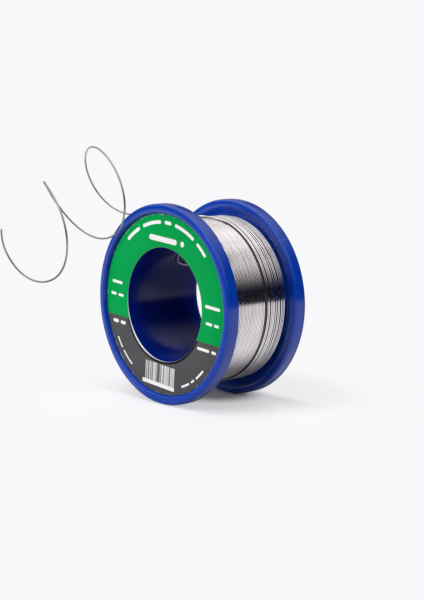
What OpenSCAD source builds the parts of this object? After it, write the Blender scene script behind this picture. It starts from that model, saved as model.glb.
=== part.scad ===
// Reel of flux-cored solder wire. The reel's axis is Y, its labelled flange faces -Y and it stands on its rims.
// The origin is on the bore's axis, halfway between the flanges. All sizes are in millimetres.

/* [Spool] */
// Diameter of both flanges
flange_d = 55; // [52:0.5:80]
// Overall width over the two rims
spool_w = 28.4; // [24:0.1:50]
// Radial height of a rim
rim_h = 2.4; // [1.8:0.1:3.4]
// Axial width of a rim
rim_w = 4.1; // [3.2:0.1:5]
// Rounding of a rim's outer edges
rim_edge_r = 1.2; // [0.6:0.1:1.4]
// Rounding of a rim's inner edges
rim_lip_r = 0.6; // [0.2:0.1:0.8]
// Thickness of a flange's web
web_t = 1.7; // [1:0.1:2.4]
// Depth of a web's outer face behind its rim
recess = 1.3; // [0.5:0.1:2]
// Diameter of the bore in its front half
bore_d = 31.2; // [24:0.1:33]
// Extra radius of the bore's rear half, where the second mould core meets the first
core_step = 0.3; // [0.28:0.01:0.4]
// Distance of that step behind the middle of the spool
core_step_y = 0.4; // [-1:0.1:0.4]
// Rounding of the bore's two mouths
mouth_r = 0.5; // [0.2:0.1:0.8]
// Thickness of the drum's wall at the bore's front half
drum_wall = 2.2; // [1.2:0.1:3]

/* [Hole for the wire's inner end] */
// Diameter of the hole through the drum
wire_hole_d = 1.4; // [1.1:0.1:1.6]
// Place of the hole round the drum, in degrees from +X towards +Z
wire_hole_angle = 126; // [90:1:180]
// Place of the hole along the axis
wire_hole_y = 1.2; // [1.2:0.1:3]

/* [Label] */
// Gap between the label's edge and the rim
label_gap = 0.3; // [0.25:0.05:1]
// Margin between the bore and the label's hole
label_margin = 0.5; // [0.3:0.05:1.5]
// Thickness of the label
label_t = 0.15; // [0.1:0.05:0.3]
// Distance that the label is stuck off centre
label_shift = 0.2; // [0:0.05:0.2]
// Direction of that shift, in degrees from +X towards +Z
label_shift_angle = 215; // [0:5:360]
// Turn of the printing about the axis, in degrees
label_turn = -5; // [-45:1:45]
// Height of the two colours' border below the middle of the label
border_drop = 6.7; // [0:0.1:12]

/* [Wire] */
// Diameter of the solder wire
wire_d = 0.5; // [0.4:0.05:0.6]
// Diameter over the winding
winding_d = 46.2; // [42:0.1:48]
// Least gap between two turns of a layer
turn_gap = 0.42; // [0.41:0.01:0.6]
// Place along the axis where the unfinished top layer ends
top_end_y = 4.2; // [3:0.1:6]
// Height of the top layer over the layer below it
layer_step = 0.43; // [0.42:0.01:0.5]
// Free space between the winding and each flange
winding_gap = 0.2; // [0.1:0.05:0.4]
// Clearance between the inner layers and what they touch
layer_clearance = 0.05; // [0.02:0.01:0.1]
// Diameter of the flux inside the wire
flux_d = 0.18; // [0.12:0.01:0.2]

/* [Hidden] */
$fn = 96;

flange_r = flange_d / 2;
half_w = spool_w / 2;
rim_in_r = flange_r - rim_h;
rim_in_y = half_w - rim_w;
web_out_y = half_w - recess;
web_in_y = web_out_y - web_t;
bore_r = bore_d / 2;
rear_bore_r = bore_r + core_step;
drum_r = bore_r + drum_wall;
wire_r = wire_d / 2;

// Outer layer: it is unfinished. Its turns run forward from the rear flange, and then the wire crosses the layer below
// and lifts off at the top, heading for -X and the front.
turn_rings = 24;
turn_sides = 6;
layer_r = winding_d / 2 - wire_r;
layer_half_w = free_half_w(winding_d / 2);
layer_rear_y = layer_half_w - winding_gap - wire_r;
layer_span = layer_rear_y - top_end_y;
turns = floor(layer_span / (wire_d + turn_gap));
leave_angle = 69;
// Each point is an angle round the reel, a height over the layer and a distance along the axis from the layer's end.
crossing_points = [
    [73, 0.07, -0.2],
    [78, 0.2, -1],
    [83, 0.35, -2.1],
    [88, 0.44, -3.1]
];

// Front turns: the layer below, in front of where the outer layer ends.
front_r = layer_r - layer_step;
front_rear_y = top_end_y - wire_d - turn_gap;
front_front_y = -layer_rear_y;
front_span = front_rear_y - front_front_y;
front_turn_count = floor(front_span / (wire_d + turn_gap));

// Inner layers: they fill the space under the chords of both layers.
core_in_r = drum_r + layer_clearance;
core_rear_r = layer_r * cos(180 / turn_rings) - wire_r - layer_clearance;
core_front_r = core_rear_r - layer_step;
core_step_at_y = top_end_y - layer_step;
core_half_w = free_half_w(core_rear_r) - winding_gap;
core_cut_over = 2 * layer_clearance;

// Free end: a hand-laid lead over the front rim, then open loops. Both are counted from where the outer layer ends.
wire_sides = 8;
exit_point = [-0.2, top_end_y - 3.85, layer_r + 0.48];
lead_steps = 2;
lead_points = [
    [0, 0, 0],
    [-0.7, -0.54, 0.01],
    [-3.5, -2.7, 0.05],
    [-7, -5.4, 0.1],
    [-10.5, -8.1, 0.15],
    [-14, -10.8, 0.25],
    [-16.1, -12.15, 0.2]
];
// Each key is half a turn after the one before: the loop's centre and its radius.
loop_keys = [
    [-14.7, -14.8, 14.5, 14.6],
    [-11.4, -24.8, 8.8, 10.1],
    [-5.5, -32, 5.8, 10.6],
    [-6.6, -46.4, 4.6, 6.2],
    [0.8, -52.1, -1.6, 12.1],
    [6.5, -60.1, -15.3, 20.1]
];
loop_axis = [-0.02, -1, -0.18];
loop_start_angle = 264.6;
loop_rings = 24;
loop_first_ring = 1;
loop_last_ring = 56;

// Flux in the cut end of the wire.
flux_depth = 0.8;
flux_clearance = 0.01;
flux_sides = 24;

// Inner end of the wire, as it leaves the hole and then lies against the bore's rear wall. Each point is an angle in
// degrees, a share of its length along the axis and a distance outside the wall.
tail_length = 7.2;
tail_steps = 2;
tail_sides = 8;
tail_wall_gap = 0.03;
tail_lie = -(wire_r + tail_wall_gap);
tail_points = [
    [0.8, 0, 0],
    [2.6, 0, tail_lie],
    [6, -0.01, tail_lie],
    [10, 0.03, tail_lie],
    [14, 0.11, tail_lie],
    [17.5, 0.22, tail_lie],
    [20, 0.42, tail_lie],
    [21.5, 0.61, tail_lie],
    [22.5, 0.81, tail_lie],
    [23.5, 1, tail_lie]
];

function unit(v) = v / norm(v);

// Half of the width that is free between the flanges at a radius: the rims stand closer together than the webs.
function free_half_w(r) = r > rim_in_r - winding_gap ? rim_in_y : web_in_y;

// A point at a radius, an angle from +X towards +Z and a place along the axis.
function polar(r, angle, y) = [r * cos(angle), y, r * sin(angle)];

// One value of a smooth curve between b and c, where f runs from 0 to 1.
function curve(a, b, c, d, f) =
    0.5 * (2 * b + (c - a) * f + (2 * a - 5 * b + 4 * c - d) * f * f + (3 * b - a - 3 * c + d) * f * f * f);

// The list with one more value at each end, in line with its neighbours.
function extended(list) =
    let (n = len(list) - 1)
    concat([2 * list[0] - list[1]], list, [2 * list[n] - list[n - 1]]);

// A smooth curve through the points, with the given number of steps between two of them.
function smooth(points, steps) =
    let (p = extended(points))
    concat(
        [for (i = [0:len(points) - 2], j = [0:steps - 1]) curve(p[i], p[i + 1], p[i + 2], p[i + 3], j / steps)],
        [points[len(points) - 1]]
    );

// Directions of the path at its points.
function directions(path) =
    let (n = len(path) - 1)
    [for (i = [0:n]) unit(path[min(i + 1, n)] - path[max(i - 1, 0)])];

// Corner points of all rings of a tube along the path. The side vector is parallel to no part of the path.
function ring_points(path, r, sides, side) =
    let (t = directions(path))
    [
        for (i = [0:len(path) - 1])
        let (u = unit(side - (side * t[i]) * t[i]), v = cross(t[i], u))
        for (k = [0:sides - 1])
        path[i] + r * (cos(360 * k / sides) * u + sin(360 * k / sides) * v)
    ];

// Least gap of a tube to itself, measured between the path's points and their neighbours a turn on.
function least_gap(path, d, skip) =
    min([
        for (i = [0:len(path) - 1 - skip], j = [i + skip:min(i + 2 * skip + 2, len(path) - 1)])
        norm(path[i] - path[j])
    ]) - d;

module tube(path, r, sides, side) {
    n = len(path);
    walls = [
        for (i = [0:n - 2], k = [0:sides - 1])
        let (a = i * sides + k, b = i * sides + (k + 1) % sides)
        each [[a, a + sides, b], [b, a + sides, b + sides]]
    ];
    front = [for (k = [1:sides - 2]) [0, k, k + 1]];
    last = (n - 1) * sides;
    back = [for (k = [1:sides - 2]) [last, last + k + 1, last + k]];
    polyhedron(ring_points(path, r, sides, side), concat(walls, front, back));
}

// Turns what was drawn about Z so that it lies about the reel's axis, with +Z at +Y.
module along_axis() {
    rotate([-90, 0, 0])
        children();
}

// Rectangle between two radii and two places on the axis, rounded by inner_r at the first and outer_r at the second.
module rounded_section(r0, r1, y0, y1, inner_r, outer_r) {
    translate([r0 + inner_r, y0])
        square([r1 - r0 - inner_r - outer_r, y1 - y0]);
    translate([r0, y0 + inner_r])
        square([inner_r, y1 - y0 - 2 * inner_r]);
    translate([r1 - outer_r, y0 + outer_r])
        square([outer_r, y1 - y0 - 2 * outer_r]);
    for (y = [y0 + inner_r, y1 - inner_r])
        translate([r0 + inner_r, y])
            circle(inner_r);
    for (y = [y0 + outer_r, y1 - outer_r])
        translate([r1 - outer_r, y])
            circle(outer_r);
}

module flange_section() {
    rounded_section(rim_in_r, flange_r, rim_in_y, half_w, rim_lip_r, rim_edge_r);
    translate([drum_r - drum_wall / 2, web_in_y])
        square([rim_in_r + rim_lip_r + drum_wall / 2 - drum_r, web_t]);
}

// Half of the drum's wall, from the middle to one web's outer face, with a rounded mouth.
module drum_section(inner_r, length) {
    translate([inner_r + mouth_r, 0])
        square([drum_r - inner_r - mouth_r, length]);
    translate([inner_r, 0])
        square([mouth_r, length - mouth_r]);
    translate([inner_r + mouth_r, length - mouth_r])
        circle(mouth_r);
}

module spool_body() {
    color([0.11, 0.24, 0.64])
        difference() {
            along_axis()
                rotate_extrude()
                    union() {
                        flange_section();
                        mirror([0, 1])
                            flange_section();
                        translate([0, core_step_y])
                            drum_section(rear_bore_r, web_out_y - core_step_y);
                        translate([0, core_step_y])
                            mirror([0, 1])
                                drum_section(bore_r, web_out_y + core_step_y);
                    }
            translate([0, wire_hole_y, 0])
                rotate([0, 90 - wire_hole_angle, 0])
                    cylinder(h = flange_r, d = wire_hole_d);
        }
}

// The whole label as a plain ring, standing on the web's outer face.
module label_ring() {
    translate([label_shift * cos(label_shift_angle), 0, label_shift * sin(label_shift_angle)])
        translate([0, -web_out_y, 0])
            rotate([90, 0, 0])
                difference() {
                    cylinder(h = label_t, r = rim_in_r - label_gap);
                    translate([0, 0, -label_t])
                        cylinder(h = 3 * label_t, r = bore_r + label_margin);
                }
}

// Everything on the label's side of the border that lies below it.
module below_border() {
    rotate([0, -label_turn, 0])
        translate([-flange_r, -spool_w, -2 * flange_r - border_drop])
            cube([2 * flange_r, spool_w, 2 * flange_r]);
}

module front_label() {
    color([0, 0.62, 0.37])
        difference() {
            label_ring();
            below_border();
        }
    color([0.27, 0.27, 0.27])
        intersection() {
            label_ring();
            below_border();
        }
}

// A plain ring of wire between two places on the axis.
module core_ring(rear_y, front_y, r) {
    along_axis()
        translate([0, 0, front_y])
            cylinder(h = rear_y - front_y, r = r);
}

module wound_core() {
    color([0.66, 0.66, 0.65])
        difference() {
            union() {
                core_ring(core_half_w, core_step_at_y, core_rear_r);
                core_ring(core_half_w, -core_half_w, core_front_r);
            }
            core_ring(core_half_w + core_cut_over, -core_half_w - core_cut_over, core_in_r);
        }
}

// Turns about the axis at a radius, that start at the rear place and end at the front one, both at the given angle.
function turn_path(r, angle, rear_y, front_y, count) = [
    for (i = [0:count * turn_rings])
    polar(r, angle + 360 * i / turn_rings, rear_y - (rear_y - front_y) * i / (count * turn_rings))
];

front_path = turn_path(front_r, leave_angle, front_rear_y, front_front_y, front_turn_count);

module front_turns() {
    echo("front turns", front_turn_count, "least gap in mm", least_gap(front_path, wire_d, turn_rings - 2));
    color([0.78, 0.78, 0.77])
        tube(front_path, wire_r, turn_sides, [0, 1, 0]);
}

layer_turns = turn_path(layer_r, leave_angle, layer_rear_y, top_end_y, turns);
layer_path = concat(
    layer_turns,
    [for (p = crossing_points) polar(layer_r + p[1], p[0], top_end_y + p[2])],
    [exit_point - wire_d * unit(lead_points[1]), exit_point]
);

module outer_layer() {
    echo("outer layer: turns", turns, "least gap in mm", least_gap(layer_turns, wire_d, turn_rings - 2));
    color([0.78, 0.78, 0.77])
        tube(layer_path, wire_r, turn_sides, [0, 1, 0]);
}

// Centre and radius of the free loops after the given number of turns.
function loop_key(t) =
    let (k = extended(loop_keys), i = min(floor(2 * t), len(loop_keys) - 2), f = 2 * t - i)
    curve(k[i], k[i + 1], k[i + 2], k[i + 3], f);

// Point of the free loops after the given number of turns, counted from the exit.
function loop_point(t) =
    let (
        axis = unit(loop_axis),
        across = unit([1, 0, 0] - axis[0] * axis),
        rise = cross(axis, across),
        key = loop_key(t),
        angle = loop_start_angle - 360 * t
    )
    [key[0], key[1], key[2]] + key[3] * (cos(angle) * across + sin(angle) * rise);

loop_points = [for (i = [loop_first_ring:loop_last_ring]) loop_point(i / loop_rings)];
lead_path = smooth(concat(lead_points, [loop_points[0]]), lead_steps);
cut_direction = unit(loop_points[len(loop_points) - 1] - loop_points[len(loop_points) - 2]);
cut_end = exit_point + loop_points[len(loop_points) - 1];
free_path = concat(
    [for (p = lead_path) exit_point + p],
    [for (i = [1:len(loop_points) - 1]) exit_point + loop_points[i]]
);

// Cylinder that reaches back into the wire from its cut end.
module in_cut_end(d, depth, beyond) {
    turn = atan2(cut_direction[1], cut_direction[0]);
    tilt = acos(cut_direction[2]);
    translate(cut_end)
        rotate([0, tilt, turn])
            translate([0, 0, -depth])
                cylinder(h = depth + beyond, d = d, $fn = flux_sides);
}

module free_end() {
    echo("free end: rings", len(free_path), "least gap in mm", least_gap(free_path, wire_d, loop_rings / 2));
    color([0.78, 0.78, 0.77])
        difference() {
            tube(free_path, wire_r, wire_sides, loop_axis);
            in_cut_end(flux_d + 2 * flux_clearance, flux_depth, wire_d);
        }
}

module flux_core() {
    color([0.85, 0.62, 0.22])
        in_cut_end(flux_d, flux_depth, 0);
}

hole_direction = polar(1, wire_hole_angle, 0);
tail_path = concat(
    [
        (drum_r - layer_clearance) * hole_direction + [0, wire_hole_y, 0],
        (drum_r - layer_clearance - wire_d) * hole_direction + [0, wire_hole_y, 0]
    ],
    smooth(
        [for (p = tail_points) polar(rear_bore_r + p[2], wire_hole_angle + p[0], wire_hole_y + p[1] * tail_length)],
        tail_steps
    )
);

module start_tail() {
    color([0.78, 0.78, 0.77])
        tube(tail_path, wire_r, tail_sides, [0.5, -0.5, 0.7]);
}

spool_body();
front_label();
wound_core();
front_turns();
outer_layer();
start_tail();
free_end();
flux_core();
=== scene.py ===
import math

import bmesh
import bpy
from mathutils import Matrix, Vector


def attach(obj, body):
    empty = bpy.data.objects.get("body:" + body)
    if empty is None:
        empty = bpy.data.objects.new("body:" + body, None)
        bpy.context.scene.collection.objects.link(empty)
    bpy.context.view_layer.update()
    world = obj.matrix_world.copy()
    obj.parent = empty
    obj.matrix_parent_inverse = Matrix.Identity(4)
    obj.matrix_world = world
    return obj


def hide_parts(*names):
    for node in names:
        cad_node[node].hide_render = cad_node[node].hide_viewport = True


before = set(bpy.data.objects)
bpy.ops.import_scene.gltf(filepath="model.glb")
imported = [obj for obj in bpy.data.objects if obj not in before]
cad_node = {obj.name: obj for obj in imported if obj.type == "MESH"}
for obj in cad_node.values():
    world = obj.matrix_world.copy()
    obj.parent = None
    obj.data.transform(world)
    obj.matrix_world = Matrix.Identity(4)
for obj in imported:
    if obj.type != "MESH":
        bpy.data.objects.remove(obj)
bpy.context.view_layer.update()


# ---- Camera -------------------------------------------------------------------------------------------------------
# It stands about 0.4 m off, to the right of the labelled side and a little above the reel's middle. Its place is given
# along its own view, to its right and to its top, from the reel's middle.
azimuth, elevation = math.radians(48.39), math.radians(8.203)
eye_away, eye_aside, eye_above = 0.408464, 0.003376, 0.000052
to_right = Vector((math.cos(azimuth), math.sin(azimuth), 0))
to_eye = Vector((
    math.sin(azimuth) * math.cos(elevation), -math.cos(azimuth) * math.cos(elevation), math.sin(elevation)))
to_top = to_eye.cross(to_right)
eye_point = eye_away * to_eye + eye_aside * to_right + eye_above * to_top

lens = bpy.data.cameras.new("lens")
lens.sensor_fit = "VERTICAL"
lens.sensor_height = 36
lens.lens = 88.306
lens.clip_start = 0.02
lens.clip_end = 20
camera = bpy.data.objects.new("camera", lens)
camera.matrix_world = Matrix.Translation(eye_point) @ Matrix((to_right, to_top, to_eye)).transposed().to_4x4()
bpy.context.scene.collection.objects.link(camera)
bpy.context.scene.camera = camera


# ---- Free end of the wire -----------------------------------------------------------------------------------------
# Drawn tin-lead wire, 0.5 mm thick, with a rosin core. The last 18 cm have sprung off the winding: they cross the
# front rim and stand off the reel in open loops, and the end is cut square, so that the rosin shows in it.
mm = 0.001
wire_r = 0.25 * mm
flux_hole_r = 0.1 * mm
flux_hole_depth = 0.8 * mm

# From its exit the wire runs over the rim along the lead points, in millimetres from that exit. The loops follow:
# each key gives their middle and radius half a turn after the one before.
wire_exit = Vector((-0.2, 0.35, 23.33)) * mm
lead_points = [
    (0, 0, 0), (-0.7, -0.54, 0.01), (-3.5, -2.7, 0.05), (-7, -5.4, 0.1), (-10.5, -8.1, 0.15), (-14, -10.8, 0.25),
    (-16.1, -12.15, 0.2)]
loop_keys = [
    (-14.7, -14.8, 14.5, 14.6), (-11.4, -24.8, 8.8, 10.1), (-5.5, -32, 5.8, 10.6), (-6.6, -46.4, 4.6, 6.2),
    (0.8, -52.1, -1.6, 12.1), (6.5, -60.1, -15.3, 20.1)]
loop_axis = Vector((-0.02, -1, -0.18)).normalized()
loop_start_angle = 264.6
points_a_loop, loop_points = 24, 56


def curve(a, b, c, d, f):
    """Point of a smooth curve between b and c, where f runs from 0 to 1."""
    return 0.5 * (2 * b + (c - a) * f + (2 * a - 5 * b + 4 * c - d) * f * f + (3 * b - a - 3 * c + d) * f ** 3)


def smooth(points, steps):
    """A smooth curve through the points."""
    p = [2 * points[0] - points[1], *points, 2 * points[-1] - points[-2]]
    return [
        curve(*p[i:i + 4], j / steps) for i in range(len(points) - 1) for j in range(steps)] + [points[-1]]


def loop_point(turn):
    """Point of the open loops after that many turns."""
    keys = [Vector(k) for k in loop_keys]
    keys = [2 * keys[0] - keys[1], *keys, 2 * keys[-1] - keys[-2]]
    i = min(int(2 * turn), len(loop_keys) - 2)
    key = curve(*keys[i:i + 4], 2 * turn - i)
    across = (Vector((1, 0, 0)) - loop_axis[0] * loop_axis).normalized()
    rise = loop_axis.cross(across)
    angle = math.radians(loop_start_angle) - 2 * math.pi * turn
    return key.xyz + key[3] * (math.cos(angle) * across + math.sin(angle) * rise)


def formed(name, form, smooth_under=None):
    """The finished form as an object. Where an angle is given, faces that meet under it are shaded smooth."""
    mesh = bpy.data.meshes.new(name)
    form.to_mesh(mesh)
    form.free()
    if smooth_under:
        mesh.shade_smooth()
        mesh.set_sharp_from_angle(angle=math.radians(smooth_under))
    piece = bpy.data.objects.new(name, mesh)
    bpy.context.scene.collection.objects.link(piece)
    return piece


def wire_mesh(name, route, sides, bored):
    """Round wire along the route with closed ends. A bored one has the hole of its rosin core in the far end."""
    last = len(route) - 1
    ahead = [(route[min(i + 1, last)] - route[max(i - 1, 0)]).normalized() for i in range(last + 1)]
    stations = [(point, along, wire_r) for point, along in zip(route, ahead)]
    if bored:
        tip, along, edge = route[last], ahead[last], 0.12 * wire_r
        stations[last:] = [
            (tip - edge * along, along, wire_r), (tip - 0.3 * edge * along, along, wire_r - 0.3 * edge),
            (tip, along, wire_r - edge), (tip, along, flux_hole_r),
            (tip - flux_hole_depth * along, along, flux_hole_r)]
    form = bmesh.new()
    run = form.verts.layers.float.new("run")
    side = ahead[0].orthogonal()
    rings, length, before = [], 0, route[0]
    for point, along, radius in stations:
        length += (point - before).length
        before = point
        side = (side - side.dot(along) * along).normalized()
        up = along.cross(side)
        ring = []
        for k in range(sides):
            turn = 2 * math.pi * k / sides
            vertex = form.verts.new(point + radius * (math.cos(turn) * side + math.sin(turn) * up))
            vertex[run] = length
            ring.append(vertex)
        rings.append(ring)
    for near, far in zip(rings, rings[1:]):
        for k in range(sides):
            form.faces.new((near[k - 1], near[k], far[k], far[k - 1]))
    form.faces.new(rings[0])
    form.faces.new(rings[-1])
    bmesh.ops.recalc_face_normals(form, faces=form.faces)
    return formed(name, form, 50)


class Value:
    """An output of a node, so that maths on it reads as plain sums."""

    def __init__(self, nodes, socket):
        self.nodes, self.socket = nodes, socket

    def math(self, operation, *others):
        """This value in one Math node, with others where the operation takes them."""
        return self.nodes.node("ShaderNodeMath", {"operation": operation}, dict(enumerate((self, *others))))

    def __add__(self, other):
        return self.math("ADD", other)

    def __sub__(self, other):
        return self.math("SUBTRACT", other)

    def __rsub__(self, other):
        return self.nodes.node("ShaderNodeMath", {"operation": "SUBTRACT"}, {0: other, 1: self})

    def __mul__(self, other):
        return self.math("MULTIPLY", other)

    def __truediv__(self, other):
        return self.math("DIVIDE", other)

    __radd__, __rmul__ = __add__, __mul__


class Nodes:
    """A node tree in the making."""

    def __init__(self, tree):
        self.tree = tree

    def node(self, kind, settings=None, sockets=None, out=0):
        """Any node: its type, its settings, which are set first, and the values or links of its sockets."""
        node = self.tree.nodes.new(kind)
        for key, value in (settings or {}).items():
            setattr(node, key, value)
        for key, value in (sockets or {}).items():
            if isinstance(value, Value):
                self.tree.links.new(value.socket, node.inputs[key])
            else:
                node.inputs[key].default_value = value
        return Value(self, node.outputs[out])


class Finish(Nodes):
    """A material in the making: its Principled shader and what feeds it. Sizes in it are in millimetres."""

    def __init__(self, name, **constants):
        self.material = bpy.data.materials.new(name)
        self.material.use_nodes = True
        super().__init__(self.material.node_tree)
        self.shader = self.tree.nodes["Principled BSDF"]
        for socket, value in constants.items():
            self.shader.inputs[socket.replace("_", " ")].default_value = value
        self.place = self.node("ShaderNodeVectorMath", {"operation": "SCALE"}, {
            0: self.node("ShaderNodeTexCoord", out="Object"), "Scale": 1000})
        self.x, self.y, self.z = (self.node("ShaderNodeSeparateXYZ", {}, {0: self.place}, out) for out in "XYZ")

    def noise(self, scale, detail=2, where=None, roughness=0.5):
        """Noise from 0 to 1 with features of about 1 / scale mm."""
        return self.node("ShaderNodeTexNoise", {}, {
            "Vector": where or self.place, "Scale": scale, "Detail": detail, "Roughness": roughness})

    def ramp(self, value, low, high, to_low=0, to_high=1):
        """The value eased from one range into another."""
        return self.node("ShaderNodeMapRange", {"interpolation_type": "SMOOTHSTEP"}, {
            "Value": value, "From Min": low, "From Max": high, "To Min": to_low, "To Max": to_high})

    def mix(self, factor, first, second):
        """A colour between two colours."""
        first, second = (colour if isinstance(colour, Value) else (*colour, 1) for colour in (first, second))
        return self.node("ShaderNodeMix", {"data_type": "RGBA"}, {0: factor, 6: first, 7: second}, 2)

    def feed(self, **sockets):
        """Links what varies over the surface to the shader."""
        for socket, value in sockets.items():
            self.tree.links.new(value.socket, self.shader.inputs[socket.replace("_", " ")])

    def surface(self, shader):
        """Puts another shader in the place of the Principled one."""
        self.tree.links.new(shader.socket, self.tree.nodes["Material Output"].inputs["Surface"])

    def bump(self, height, strength, distance):
        """Raised and sunk detail. The distance is in millimetres."""
        self.feed(Normal=self.node("ShaderNodeBump", {}, {
            "Height": height, "Strength": strength, "Distance": distance * mm}))


def solder_finish(name, gloss, bright, dull, groove_shade=0.0, metallic=1.0):
    """Bright drawn solder: a hard gloss, faint draw marks and thin grey oxide. Painted shade darkens the sides where
    turns touch.
    """
    solder = Finish(name, Metallic=metallic)
    run = solder.node("ShaderNodeAttribute", {"attribute_name": "run"}, out="Fac") * 1000
    along = solder.node("ShaderNodeCombineXYZ", {}, {0: run * 0.06, 1: solder.y * 0.4, 2: solder.z * 0.05})
    oxide = solder.ramp(solder.noise(1.0, 3, along, roughness=0.6), 0.45, 0.75)
    patch = solder.ramp(solder.noise(0.16, 3), 0.4, 0.7)
    marks = solder.noise(2.4, 2)
    turn_tone = solder.node("ShaderNodeTexNoise", {"noise_dimensions": "1D"}, {"W": run * 0.0127, "Detail": 2.0})
    colour = solder.mix(patch * 0.4 + solder.ramp(turn_tone, 0.38, 0.62) * 0.6, bright, dull)
    colour = solder.mix(oxide * 0.3, colour, (0.52, 0.49, 0.46))
    if groove_shade:
        # Painted shade: the wire's sides that face along the axis, where neighbouring turns touch, are darkened.
        faces = solder.node("ShaderNodeNewGeometry", out="Normal")
        to_side = solder.node("ShaderNodeSeparateXYZ", {}, {0: faces}, "Y").math("ABSOLUTE")
        colour = solder.mix(solder.ramp(to_side, 0.6, 0.95) * groove_shade, colour, (0.05, 0.042, 0.042))
    solder.feed(Base_Color=colour, Roughness=gloss + 0.06 * oxide + 0.04 * marks)
    solder.bump(marks, 0.12, 0.01)
    return solder.material


# Painted shade: the free wire's solder is darker than the wound solder, for the dark room that its sides reflect.
solder = solder_finish("free_solder_painted_darker", 0.28, (0.58, 0.54, 0.53), (0.48, 0.44, 0.43))
free_controls = [wire_exit + mm * Vector(p) for p in lead_points] + [
    wire_exit + mm * loop_point(i / points_a_loop) for i in range(1, loop_points + 1)]
free_route = smooth(free_controls, 4)
free_wire = wire_mesh("free_wire", free_route, 12, True)
free_wire.data.materials.append(solder)
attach(free_wire, "root")
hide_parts("free_end")
free_length = sum((b - a).length for a, b in zip(free_route, free_route[1:]))

# Rosin in the cut end: amber, resinous and a little cloudy. It keeps the node's own shape.
rosin = Finish("amber_rosin", Roughness=0.3, Coat_Weight=0.3)
cloud = rosin.noise(9, 3)
rosin.feed(Base_Color=rosin.mix(cloud, (0.62, 0.36, 0.08), (0.42, 0.2, 0.04)))
rosin.bump(cloud, 0.3, 0.01)
cad_node["flux_core"].data.materials.clear()
cad_node["flux_core"].data.materials.append(rosin.material)


# ---- Spool --------------------------------------------------------------------------------------------------------
# One injection moulding in glossy blue polystyrene: two flanges with thick rims, a drum and a through bore, which is
# a little wider from the middle rearwards, where the two mould cores meet. A small round hole lets the wire in.
rim_r, rim_in_r, drum_r = 27.5, 25.1, 17.8
rim_out_y, rim_in_y, web_out_y, web_in_y = 14.2, 10.1, 12.9, 11.2
slope_r, slope_run, slope_steps = 25.9, 2.7, 9
bore_front_r, bore_rear_r, bore_step_y = 15.6, 15.9, 0.4


def rounded(corners, steps):
    """Closed outline through square corners (r, y, radius) and plain points, whose radius is 0."""
    outline = []
    for i, (r, y, radius) in enumerate(corners):
        corner = Vector((r, y))
        if not radius:
            outline.append(corner)
            continue
        before = (Vector(corners[i - 1][:2]) - corner).normalized()
        after = (Vector(corners[(i + 1) % len(corners)][:2]) - corner).normalized()
        centre = corner + radius * (before + after)
        for k in range(steps + 1):
            a = math.pi / 2 * k / steps
            outline.append(centre - radius * (math.cos(a) * after + math.sin(a) * before))
    return outline


def spun(name, outline, around, centre=(0, 0)):
    """The outline of (r, y) in millimetres, turned about the reel's axis or one beside it."""
    form = bmesh.new()
    rings = [[
        form.verts.new(mm * Vector((
            centre[0] + p.x * math.cos(2 * math.pi * k / around), p.y,
            centre[1] + p.x * math.sin(2 * math.pi * k / around))))
        for p in outline] for k in range(around)]
    for k in range(around):
        for i in range(len(outline)):
            form.faces.new((rings[k - 1][i - 1], rings[k][i - 1], rings[k][i], rings[k - 1][i]))
    bmesh.ops.remove_doubles(form, verts=form.verts, dist=1e-7)
    bmesh.ops.recalc_face_normals(form, faces=form.faces)
    return formed(name, form, 38)


def eased(share):
    """From 0 to 1 with a soft start and end."""
    return share * share * (3 - 2 * share)


# The rim's inner side eases into the web. Each corner is a radius, a place along the axis and a fillet.
slope = [
    (slope_r - slope_run * step / slope_steps, rim_in_y + (web_in_y - rim_in_y) * eased(step / slope_steps), 0)
    for step in range(slope_steps + 1)]
half = [
    (rim_in_r, web_out_y, 0.3), (rim_in_r, rim_out_y, 0.6), (rim_r, rim_out_y, 0.9), (rim_r, rim_in_y, 0.9),
    *slope, (drum_r, web_in_y, 0.4)]
spool_outline = rounded(
    [(bore_rear_r, web_out_y, 0.5), *half]
    + [(r, -y, radius) for r, y, radius in reversed(half)]
    + [(bore_front_r, -web_out_y, 0.1), (bore_front_r, bore_step_y, 0.08), (bore_rear_r, bore_step_y, 0.08)], 7)
spool = spun("blue_spool", spool_outline, 192)

# The hole for the wire's inner end is cut through the drum's wall.
hole_degrees, hole_y, hole_r = 126, 1.2, 0.7
cutter_at_r, cutter_length = 17, 6
hole_out = Vector((math.cos(math.radians(hole_degrees)), 0, math.sin(math.radians(hole_degrees))))
cutter_form = bmesh.new()
bmesh.ops.create_cone(
    cutter_form, cap_ends=True, segments=32, radius1=hole_r * mm, radius2=hole_r * mm, depth=cutter_length * mm,
    matrix=Matrix.Translation(cutter_at_r * mm * hole_out + Vector((0, hole_y * mm, 0)))
    @ hole_out.to_track_quat("Z", "Y").to_matrix().to_4x4())
cutter = formed("cutter", cutter_form)
wire_hole = spool.modifiers.new("wire_hole", "BOOLEAN")
wire_hole.operation, wire_hole.solver, wire_hole.object = "DIFFERENCE", "EXACT", cutter
bpy.context.view_layer.update()
drilled = bpy.data.meshes.new_from_object(spool.evaluated_get(bpy.context.evaluated_depsgraph_get()))
spool.modifiers.clear()
spool.data = drilled
spool.data.name = "blue_spool"
bpy.data.objects.remove(cutter)


def far_off(along, up):
    """The distance that two measures at a right angle make together."""
    return (along * along + up * up).math("SQRT")


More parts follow.
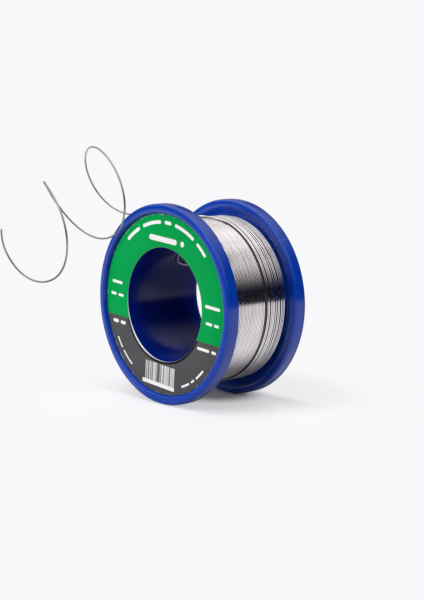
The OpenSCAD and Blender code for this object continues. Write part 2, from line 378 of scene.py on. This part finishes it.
# Glossy blue, with flow streaks and mottle from the mould, fine scratches, and wear along the rims' edges. The rear
# flange has a fine raised seam from the split mould, and both flanges have faint rings from its cutting.
seam_angle = math.radians(40)
blue = Finish("blue_moulded_plastic", IOR=1.55, Specular_IOR_Level=0.25, Coat_Roughness=0.1)
radius = far_off(blue.x, blue.z)
round_angle = blue.node("ShaderNodeMath", {"operation": "ARCTAN2"}, {0: blue.z, 1: blue.x})
swirl = blue.node("ShaderNodeCombineXYZ", {}, {0: radius * 2.2, 1: round_angle * 1.1, 2: blue.y * 0.6})
streaks = blue.noise(0.8, 4, swirl, roughness=0.6)
mottle = blue.noise(0.25, 3)
grain = blue.noise(6, 3, roughness=0.6)
scratch_way = blue.node("ShaderNodeCombineXYZ", {}, {0: radius * 5, 1: round_angle * 2.5, 2: blue.y * 5})
scratches = blue.ramp(blue.noise(1.3, 5, scratch_way, roughness=0.7), 0.62, 0.7)
edge_wear = blue.ramp(radius, 26.6, 27.45) * blue.ramp(blue.noise(1.6, 5, roughness=0.75), 0.6, 0.72)
flange = blue.ramp(blue.y.math("ABSOLUTE"), 14.1, 13.9) * blue.ramp(radius, 17.6, 17.8)
off_seam = (blue.x * math.sin(seam_angle) - blue.z * math.cos(seam_angle)).math("ABSOLUTE")
seam = (1 - blue.ramp(off_seam, 0.09, 0.2)) * flange * blue.ramp(blue.y, 9, 10)
ring_way = blue.node("ShaderNodeCombineXYZ", {}, {0: radius * 3.2, 1: round_angle * 0.5})
tool_rings = blue.ramp(blue.noise(1, 2, ring_way), 0.58, 0.68) * blue.ramp(radius, 23.2, 24) * flange
body_colour = blue.mix(blue.ramp(mottle, 0.3, 0.7), (0.001, 0.041, 0.37), (0.0015, 0.049, 0.41))
body_colour = blue.mix(streaks * 0.2, body_colour, (0.0008, 0.026, 0.29))
body_colour = blue.mix(
    scratches * 0.1 + edge_wear * 0.2 + seam * 0.6 + tool_rings * 0.2, body_colour, (0.06, 0.13, 0.5))
# Painted shade deepens the blue of the bore's wall, except near its rear mouth, where little light gets in. The mould
# was polished for the rims and for the outer faces only.
bore_painted_shade = blue.ramp(radius, 16.3, 15.95) * blue.ramp(blue.y, 13, 11)
body_colour = blue.mix(bore_painted_shade * 0.75, body_colour, (0.0003, 0.006, 0.16))
polished = blue.ramp(radius, 24.9, 25.2).math("MAXIMUM", blue.ramp(blue.y.math("ABSOLUTE"), 12.7, 12.9))
blue.feed(
    Base_Color=body_colour, Coat_Weight=polished * 0.4,
    Roughness=0.13 + 0.08 * streaks + 0.1 * scratches + 0.12 * edge_wear + 0.04 * grain)
blue.bump(0.4 * streaks + 0.15 * grain + 0.7 * seam - 0.12 * scratches, 0.25, 0.05)
spool.data.materials.clear()
spool.data.materials.append(blue.material)
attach(spool, "root")
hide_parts("spool_body")


# ---- Label --------------------------------------------------------------------------------------------------------
# A die-cut ring of coated paper, stuck a little off centre and turned 5 degrees in the front flange's recess. Its
# hole follows the bore's edge, where the paper's cut shows below on the left. It is printed green above a straight
# border and charcoal below it, with plain white bars and a striped block that encodes nothing.
label_in_r, label_out_r, label_t = 15.68, 24.8, 0.15
label_centre = (-0.1638, -0.1147)
label_turn = math.radians(5)
border_drop = 6.7
label = spun("ring_label", rounded([
    (label_in_r, -web_out_y, 0.01), (label_out_r, -web_out_y, 0.01),
    (label_out_r, -web_out_y - label_t, 0.05), (label_in_r, -web_out_y - label_t, 0.02)], 3), 256, label_centre)

# The hole is moved from the label's own centre to the bore's.
hole_reach = 20
off_centre = mm * Vector((label_centre[0], 0, label_centre[1]))
for vertex in label.data.vertices:
    if (vertex.co - off_centre).xz.length < hole_reach * mm:
        vertex.co -= off_centre

paper = Finish("printed_label", Specular_IOR_Level=0.06)
across = (paper.x - label_centre[0]) * math.cos(label_turn) - (paper.z - label_centre[1]) * math.sin(label_turn)
upward = (paper.x - label_centre[0]) * math.sin(label_turn) + (paper.z - label_centre[1]) * math.cos(label_turn)
from_centre = far_off(across, upward)
bearing = upward.math("ARCTAN2", across) * (180 / math.pi)
print_blur = 0.06


def band(value, low, high):
    """1 between the two values, with a printed edge's softness."""
    return paper.ramp(value, low - print_blur, low + print_blur) * (
        1 - paper.ramp(value, high - print_blur, high + print_blur))


def bar(along, off, start, end, thickness):
    """A printed bar with round ends, from the distances along its middle line and off that line."""
    past = ((along - (start + end) / 2).math("ABSOLUTE") - (end - start - thickness) / 2).math("MAXIMUM", 0)
    return 1 - paper.ramp(far_off(past, off), thickness / 2 - print_blur, thickness / 2 + print_blur)


# Each row gives its height, its thickness, and where each of its bars starts and ends. For the bars that follow the
# label's edge, the height is a radius and the ends are degrees.
rows = [
    (17.8, 1.5, (-7.4, 4.2), (5.7, 7.2)), (2.7, 0.8, (-22.6, -18.2)), (-0.8, 0.75, (-22.9, -20.6), (-19.7, -17.4)),
    (3.1, 0.85, (17.0, 22.9)), (-1.4, 0.75, (17.7, 20.2), (21.0, 22.8)), (-8.4, 0.9, (-21.4, -19.0), (-18.1, -15.9)),
    (-8.7, 0.8, (14.8, 19.6), (20.5, 22.3))]
arcs = [
    (22.6, 0.95, (121, 137), (97, 117), (86, 93), (61, 82), (45, 57)), (22.8, 0.5, (-146, -137), (-135, -122)),
    (22.8, 0.6, (-66, -57), (-55, -51), (-49, -39))]
print_marks = [
    bar(across, upward - height, *ends, thickness) for height, thickness, *words in rows for ends in words]
for height, thickness, *words in arcs:
    run = bearing * (height * math.pi / 180)
    print_marks += [
        bar(run, from_centre - height, *(height * math.radians(end) for end in ends), thickness) for ends in words]
stripe_width = 0.34
block = band(across, -6.3, 6.3) * band(upward, -23.0, -16.6)
block_foot = band(across, -7.2, 6.3) * band(upward, -23.0, -21.9)
stripes = paper.node("ShaderNodeTexWhiteNoise", {"noise_dimensions": "1D"}, {
    "W": (across / stripe_width).math("FLOOR")})
print_marks += [block * paper.ramp(stripes, 0.1, 0.85, 0.05, 0.75), block_foot]
ink = print_marks[0]
for mark in print_marks[1:]:
    ink = ink.math("MAXIMUM", mark)
tooth = paper.noise(5, 4, roughness=0.65)
print_wear = paper.ramp(paper.noise(2.2, 5, roughness=0.8), 0.62, 0.7)
rubbed = paper.ramp(from_centre, 24.25, 24.7) * paper.ramp(paper.noise(1.1, 4, roughness=0.7), 0.55, 0.64)
fade = paper.noise(0.13, 2)
green = paper.mix(fade, (0.0, 0.325, 0.06), (0.001, 0.355, 0.085))
charcoal = paper.mix(fade, (0.075, 0.077, 0.08), (0.09, 0.09, 0.092))
ground = paper.mix(paper.ramp(upward, -border_drop - print_blur, -border_drop + print_blur), charcoal, green)
printed = paper.mix(ink * (1 - 0.25 * print_wear), ground, (0.92, 0.905, 0.9))

# The print runs short of the hole, so white paper shows round it, widest below on the left, where it is also painted
# brightest as a painted highlight. A black line follows it inside the charcoal.
lower_left = math.radians(232)
facing = ((across * math.cos(lower_left) + upward * math.sin(lower_left)) / from_centre).math("MAXIMUM", 0)
bare_width = 0.05 + 0.45 * facing.math("POWER", 6)
past_bore = far_off(paper.x, paper.z) - label_in_r
bare_edge = paper.ramp(bare_width - past_bore, -0.03, 0.03)
black_line = paper.ramp(bare_width + 0.6 - past_bore, -0.05, 0.05) * paper.ramp(
    upward, -border_drop, -border_drop - 0.1)
printed = paper.mix(black_line, printed, (0.006, 0.006, 0.008))
# Painted highlight: the bare paper is brighter the more it faces the lower left.
printed = paper.mix(bare_edge * (0.25 + 0.75 * facing * facing), printed, (0.72, 0.72, 0.8))
paper.feed(
    Base_Color=paper.mix(rubbed * 0.55, printed, (0.62, 0.66, 0.63)),
    Roughness=0.36 + 0.14 * tooth + 0.2 * rubbed)
paper.bump(0.5 * tooth + paper.noise(0.35, 2) * 1.5, 0.22, 0.06)
label.data.materials.append(paper.material)
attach(label, "root")
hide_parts("front_label")


# ---- Inner end of the wire ----------------------------------------------------------------------------------------
# The wire's first centimetre. It comes through the hole in the drum and is bent flat against the bore's wall, so
# that the first layer can't slip.
# Each point of the tail gives the degrees past the hole, the share of its length and the place off the bore's wall.
drum_clear_r, tail_length = drum_r - 0.05, 7.2
tail_lie = -0.28
tail_points = [
    (0.8, 0, 0), (2.6, 0, tail_lie), (6, -0.01, tail_lie), (10, 0.03, tail_lie), (14, 0.11, tail_lie),
    (17.5, 0.22, tail_lie), (20, 0.42, tail_lie), (21.5, 0.61, tail_lie), (22.5, 0.81, tail_lie),
    (23.5, 1, tail_lie)]


def on_reel(r, degrees, y):
    """A point at a radius, an angle from +X towards +Z and a place along the axis, all in millimetres."""
    return mm * Vector((r * math.cos(math.radians(degrees)), y, r * math.sin(math.radians(degrees))))


tail_controls = [on_reel(drum_clear_r, hole_degrees, hole_y), on_reel(drum_clear_r - 0.5, hole_degrees, hole_y)] + [
    on_reel(bore_rear_r + lie, hole_degrees + turn, hole_y + share * tail_length)
    for turn, share, lie in tail_points]
inner_tail = wire_mesh("inner_wire_end", smooth(tail_controls, 6), 14, False)
inner_tail.data.materials.append(
    solder_finish("bent_solder", 0.36, (0.95, 0.92, 0.9), (0.85, 0.8, 0.79), metallic=0.8))
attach(inner_tail, "root")
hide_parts("start_tail")


# ---- Winding ------------------------------------------------------------------------------------------------------
# About 60 m of wire, wound in tight layers of 44 turns. The top layer is unfinished: it starts at the rear flange,
# lies a little loose, and ends after 11 turns, where the wire crosses the layer below and lifts off at the top.
leave_angle, layer_edge = 69, 10.9
lower_r, lower_turns, lower_rear = 22.42, 28.2, 3.35
upper_r, upper_turns, upper_front = 22.85, 11.25, 4.2

# The upper layer's first points climb out of the layer below. Its gaps each have the turn that they follow and a
# width, and the crossing's points an angle, a rise and a place past the layer. The lower layer's sag lies before its
# end by a part of a turn.
points_a_turn, climb_points, climb_height = 108, 14, 0.48
gap_opens_over = 0.3
upper_gaps = [(3.3, 0.3), (5.5, 0.22), (6.5, 0.18), (9.4, 0.28)]
crossing = [(73, 0.07, -0.2), (78, 0.2, -1), (83, 0.35, -2.1), (88, 0.44, -3.1)]
sag_depth, sag_before_end, sag_reach = 0.12, 0.45, 0.35


def wound_route(radius, turns, place, climb=0):
    """Points of a layer that ends at the angle where the wire leaves it. Its start may climb from the one below."""
    return [
        on_reel(
            radius - climb * eased(max(1 - i / climb_points, 0)), leave_angle - 360 * (turns - i / points_a_turn),
            place(i / points_a_turn))
        for i in range(round(turns * points_a_turn) + 1)]


def upper_place(turn):
    """Place of the upper layer along the axis: tight turns with a few gaps."""
    gaps = sum(width * min(max((turn - at) / gap_opens_over + 0.5, 0), 1) for at, width in upper_gaps)
    spare = layer_edge - upper_front - sum(width for at, width in upper_gaps)
    return layer_edge - gaps - spare * turn / upper_turns


def lower_place(turn):
    """Place of the lower layer: tight turns, the last of which sags rearwards where it runs below."""
    sag = sag_depth * eased(max(1 - abs(turn - lower_turns + sag_before_end) / sag_reach, 0))
    return -layer_edge + (lower_rear + layer_edge) * turn / lower_turns + sag


lower_route = wound_route(lower_r, lower_turns, lower_place)
upper_route = wound_route(upper_r, upper_turns, upper_place, climb_height)
lift_off = [upper_route[-3], upper_route[-1]] + [
    on_reel(upper_r + rise, angle, upper_front + ahead) for angle, rise, ahead in crossing] + [
    wire_exit - 2 * wire_r * Vector(lead_points[1]).normalized(), wire_exit]
upper_route = upper_route[:-3] + smooth(lift_off, 4)


def winding_tree():
    """Geometry nodes that lay a wire along a line: it wanders a little, and is swept with its own thickness."""
    group = bpy.data.node_groups.new("laid_wire", "GeometryNodeTree")
    group.interface.new_socket("Geometry", in_out="INPUT", socket_type="NodeSocketGeometry")
    group.interface.new_socket("Geometry", in_out="OUTPUT", socket_type="NodeSocketGeometry")
    inputs = {}
    for name, kind, value in (
            ("Wire radius", "Float", wire_r), ("Sides", "Int", 12), ("Wander", "Float", 0.1 * mm),
            ("Looseness", "Float", 0.03 * mm), ("Seed", "Float", 1.0), ("Metal", "Material", None)):
        inputs[name] = group.interface.new_socket(name, in_out="INPUT", socket_type="NodeSocket" + kind)
        if value is not None:
            inputs[name].default_value = value

    tree = Nodes(group)
    given = {socket.name: Value(tree, socket) for socket in group.nodes.new("NodeGroupInput").outputs}
    line = tree.node("GeometryNodeMeshToCurve", {}, {0: given["Geometry"]})
    length, share = (tree.node("GeometryNodeSplineParameter", out=out) for out in ("Length", "Factor"))
    place = tree.node("GeometryNodeInputPosition")

    # Neighbouring turns drift sideways together, and each also slips on its own. The wire's last part is held.
    drift = tree.node("ShaderNodeTexNoise", {"noise_dimensions": "4D"}, {
        "Vector": place, "W": given["Seed"], "Scale": 130, "Detail": 1.0})
    slip = tree.node("ShaderNodeTexNoise", {"noise_dimensions": "1D"}, {
        "W": length + given["Seed"], "Scale": 22, "Detail": 1.0})
    drift, slip = (drift - 0.5) * given["Wander"], (slip - 0.5) * given["Looseness"]
    held = tree.node("ShaderNodeMapRange", {}, {"Value": share, "From Min": 0.995, "From Max": 0.96})
    sideways = tree.node("ShaderNodeCombineXYZ", {}, {1: (drift + slip) * held})
    outward = tree.node("ShaderNodeVectorMath", {"operation": "MULTIPLY"}, {0: place, 1: (1, 0, 1)})
    outward = tree.node("ShaderNodeVectorMath", {"operation": "NORMALIZE"}, {0: outward})
    outward = tree.node("ShaderNodeVectorMath", {"operation": "SCALE"}, {0: outward, "Scale": slip * held})
    offset = tree.node("ShaderNodeVectorMath", {"operation": "ADD"}, {0: sideways, 1: outward})
    moved = tree.node("GeometryNodeSetPosition", {}, {"Geometry": line, "Offset": offset})
    marked = tree.node("GeometryNodeStoreNamedAttribute", {"data_type": "FLOAT", "domain": "POINT"}, {
        "Geometry": moved, "Name": "run", "Value": length})

    ring = tree.node("GeometryNodeCurvePrimitiveCircle", {}, {
        "Resolution": given["Sides"], "Radius": given["Wire radius"]})
    swept = tree.node("GeometryNodeCurveToMesh", {}, {"Curve": marked, "Profile Curve": ring, "Fill Caps": True})
    smoothed = tree.node("GeometryNodeSetShadeSmooth", {}, {"Geometry": swept})
    real = tree.node("GeometryNodeRealizeInstances", {}, {0: smoothed})
    finished = tree.node("GeometryNodeSetMaterial", {}, {"Geometry": real, "Material": given["Metal"]})
    group.links.new(finished.socket, group.nodes.new("NodeGroupOutput").inputs[0])
    return group, {name: socket.identifier for name, socket in inputs.items()}


laid_wire, wire_input = winding_tree()


def laid(name, route, **values):
    """A layer of wire along its route, as a plain mesh."""
    line = bpy.data.meshes.new(name)
    line.from_pydata(route, [(i, i + 1) for i in range(len(route) - 1)], [])
    piece = bpy.data.objects.new(name, line)
    bpy.context.scene.collection.objects.link(piece)
    lay = piece.modifiers.new("laid_wire", "NODES")
    lay.node_group = laid_wire
    for key, value in values.items():
        lay[wire_input[key.replace("_", " ")]] = value
    bpy.context.view_layer.update()
    mesh = bpy.data.meshes.new_from_object(piece.evaluated_get(bpy.context.evaluated_depsgraph_get()))
    piece.modifiers.clear()
    piece.data = mesh
    mesh.name = name
    return piece


wound_solder = solder_finish("wound_solder", 0.09, (0.95, 0.912, 0.925), (0.84, 0.808, 0.812), groove_shade=0.66)
lower_layer = laid("lower_layer", lower_route, Wander=0.04 * mm, Looseness=0.07 * mm, Seed=3.0, Metal=wound_solder)
upper_layer = laid("upper_layer", upper_route, Wander=0.06 * mm, Looseness=0.08 * mm, Seed=8.0, Metal=wound_solder)
for layer, replaced in ((lower_layer, "front_turns"), (upper_layer, "outer_layer")):
    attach(layer, "root")
    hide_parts(replaced)

# The layers beneath show only in the gaps: one form with a ridge for each turn, rough, and with its solder painted
# dark as painted shade. Each span gives its start and end along the axis, its ridges and their top's radius.
core_in_r, core_edge, ridge_r = 17.85, 11.0, 0.25
core_spans = [(-core_edge, 3.77, 29, 22.12), (3.77, core_edge, 14, 22.55)]
core_outline = [Vector((core_in_r, -core_edge))]
for start, end, ridges, top in core_spans:
    for quarter in range(4 * ridges):
        off_top = quarter % 4 / 2 - 1
        core_outline.append(Vector((
            top + ridge_r * (math.sqrt(1 - off_top * off_top) - 1), start + (end - start) * quarter / (4 * ridges))))
core_outline += [Vector((core_spans[-1][3] - ridge_r, core_edge)), Vector((core_in_r, core_edge))]
inner_layers = spun("inner_layers", core_outline, 72)
# Its solder is darker than the wound solder, as painted shade in the gaps.
inner_layers.data.materials.append(
    solder_finish("shaded_buried_solder", 0.35, (0.5, 0.49, 0.47), (0.36, 0.34, 0.31), groove_shade=0.9))
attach(inner_layers, "root")
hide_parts("wound_core")


# ---- Bench, light and surroundings --------------------------------------------------------------------------------
# A pale bench under soft lamps overhead, in front, at the right and behind. Away from the reel the bench fades into
# the white background. Reflections show a dark room between the bright bench and the glow of the lamps above.
bench_z = -rim_r * mm
background = (0.94, 0.94, 0.955, 1)
foot_x, foot_y = -2, 8
bench_form = bmesh.new()
bmesh.ops.create_grid(bench_form, x_segments=1, y_segments=1, size=4, matrix=Matrix.Translation((0, 0, bench_z)))
bench = formed("bench", bench_form)


def beside(finish):
    """1 beside the winding, to the right and left, and 0 in front of the flanges and behind them."""
    return finish.ramp(finish.y.math("ABSOLUTE") / finish.x.math("ABSOLUTE"), 1.5, 0.9)


# The bench is paler to the eye, and in reflections beside the winding, than in the light that it throws back. A
# little light of its own lifts it away from the reel's foot, where the shadow of the rims stays.
bench_paint = Finish("pale_bench", Roughness=0.6, Specular_IOR_Level=0.1)
watched = bench_paint.node("ShaderNodeLightPath", out="Is Camera Ray")
mirrored = bench_paint.node("ShaderNodeLightPath", out="Is Glossy Ray").math(
    "MAXIMUM", bench_paint.node("ShaderNodeLightPath", out="Is Transmission Ray"))
bench_paint.feed(Base_Color=bench_paint.mix(
    (beside(bench_paint) * mirrored).math("MAXIMUM", watched), (0.34, 0.34, 0.34), (0.6, 0.595, 0.597)))
from_foot = far_off(bench_paint.x - foot_x, bench_paint.y - foot_y)
off_reel = far_off(bench_paint.x, bench_paint.y)
# Painted light: behind the reel the bench is faded towards white, which thins the rims' shadow there.
behind_reel = bench_paint.ramp(bench_paint.y, 14.5, 20) * 0.6
faded = (bench_paint.ramp(off_reel, 20, 55).math("MAXIMUM", behind_reel) * watched).math(
    "MAXIMUM", bench_paint.ramp(off_reel, 12, 34) * (0.1 + 0.9 * beside(bench_paint)) * mirrored)
white = bench_paint.node("ShaderNodeEmission", {}, {"Color": background, "Strength": 1.0})
lift = bench_paint.node("ShaderNodeEmission", {}, {
    "Color": background, "Strength": watched * bench_paint.ramp(from_foot, 5.5, 17) * 0.47})
plain = Value(bench_paint, bench_paint.shader.outputs[0])
lifted = bench_paint.node("ShaderNodeAddShader", {}, {0: plain, 1: lift})
bench_paint.surface(bench_paint.node("ShaderNodeMixShader", {}, {0: faded, 1: lifted, 2: white}))
bench.data.materials.append(bench_paint.material)

# The room is a dome that only reflections show: bright below the horizon beside the reel, dark at eye level and
# brighter towards the top, where a dark gap on the right parts two panels. One softbox hangs high in front, and a
# dim backdrop stands low behind, on the left. Bearings are degrees from the right towards the front.
dome_r = 0.45
dome_form = bmesh.new()
bmesh.ops.create_uvsphere(dome_form, u_segments=64, v_segments=48, radius=dome_r)
dome = formed("room_dome", dome_form)
for rays in ("camera", "diffuse", "transmission", "shadow", "volume_scatter"):
    setattr(dome, "visible_" + rays, False)
dome_paint = Finish("room_dome")
rise = dome_paint.z.math("ARCTAN2", far_off(dome_paint.x, dome_paint.y)) * (180 / math.pi)
way = dome_paint.node("ShaderNodeVectorMath", {"operation": "NORMALIZE"}, {0: dome_paint.place})
behind = dome_paint.ramp(dome_paint.node("ShaderNodeSeparateXYZ", {}, {0: way}, "Y"), 0.2, 0.6)
room_bearing = (dome_paint.y * -1).math("ARCTAN2", dome_paint.x) * (180 / math.pi)


def panel(at_bearing, half_width, at_rise, half_height):
    """1 on a panel of the dome. Each half size is given twice: where the panel has faded, and where it is whole."""
    return dome_paint.ramp((room_bearing - at_bearing).math("ABSOLUTE"), *half_width) * dome_paint.ramp(
        (rise - at_rise).math("ABSOLUTE"), *half_height)


softbox = panel(70, (9, 5), 48, (15, 9))
backdrop = panel(-138, (55, 25), 10, (22, 10))
gap = panel(5, (75, 50), 56, (8, 4))
overhead_glow = dome_paint.ramp(rise - 15 * behind, 12.5, 46, 0.01, 1.07) * (1 - 0.45 * gap)
bench_glow = dome_paint.ramp(rise, -1.6, -2.8) * beside(dome_paint)
glow = overhead_glow.math("MAXIMUM", bench_glow) + dome_paint.ramp(rise, 65, 85) * 0.7 + softbox * 2 + backdrop * 0.28
dome_paint.surface(dome_paint.node("ShaderNodeEmission", {}, {"Color": (1, 0.975, 0.96, 1), "Strength": glow}))
dome.data.materials.append(dome_paint.material)

for name, place, size, power in (
        ("overhead", (0.05, -0.3, 0.7), 0.6, 3.2), ("front", (-0.42, -0.86, 0.24), 0.45, 7.6),
        ("right", (0.93, 0.0, 0.25), 0.4, 4.5), ("rear", (-0.5, 0.75, 0.4), 0.6, 2.2)):
    lamp = bpy.data.lights.new(name, "AREA")
    lamp.shape, lamp.size, lamp.energy = "SQUARE", size, power
    holder = bpy.data.objects.new(name, lamp)
    holder.location = place
    holder.rotation_euler = Vector(place).to_track_quat("Z", "Y").to_euler()
    holder.visible_glossy = False
    bpy.context.scene.collection.objects.link(holder)

# The background shows white to the eye and in reflections, and throws only a little light on the object.
room = bpy.data.worlds.new("room")
bpy.context.scene.world = room
room.use_nodes = True
sky = Nodes(room.node_tree)
sky.tree.nodes.clear()
shows = sky.node("ShaderNodeLightPath", out="Is Camera Ray")
for ray in ("Is Glossy Ray", "Is Transmission Ray"):
    shows = shows.math("MAXIMUM", sky.node("ShaderNodeLightPath", out=ray))
shown = sky.node("ShaderNodeBackground", {}, {"Color": background})
ambient = sky.node("ShaderNodeBackground", {}, {"Color": (0.95, 0.97, 1.0, 1), "Strength": 0.06})
blend = sky.node("ShaderNodeMixShader", {}, {0: shows, 1: ambient, 2: shown})
sky.tree.links.new(blend.socket, sky.tree.nodes.new("ShaderNodeOutputWorld").inputs["Surface"])
bpy.context.scene.view_settings.view_transform = "Standard"
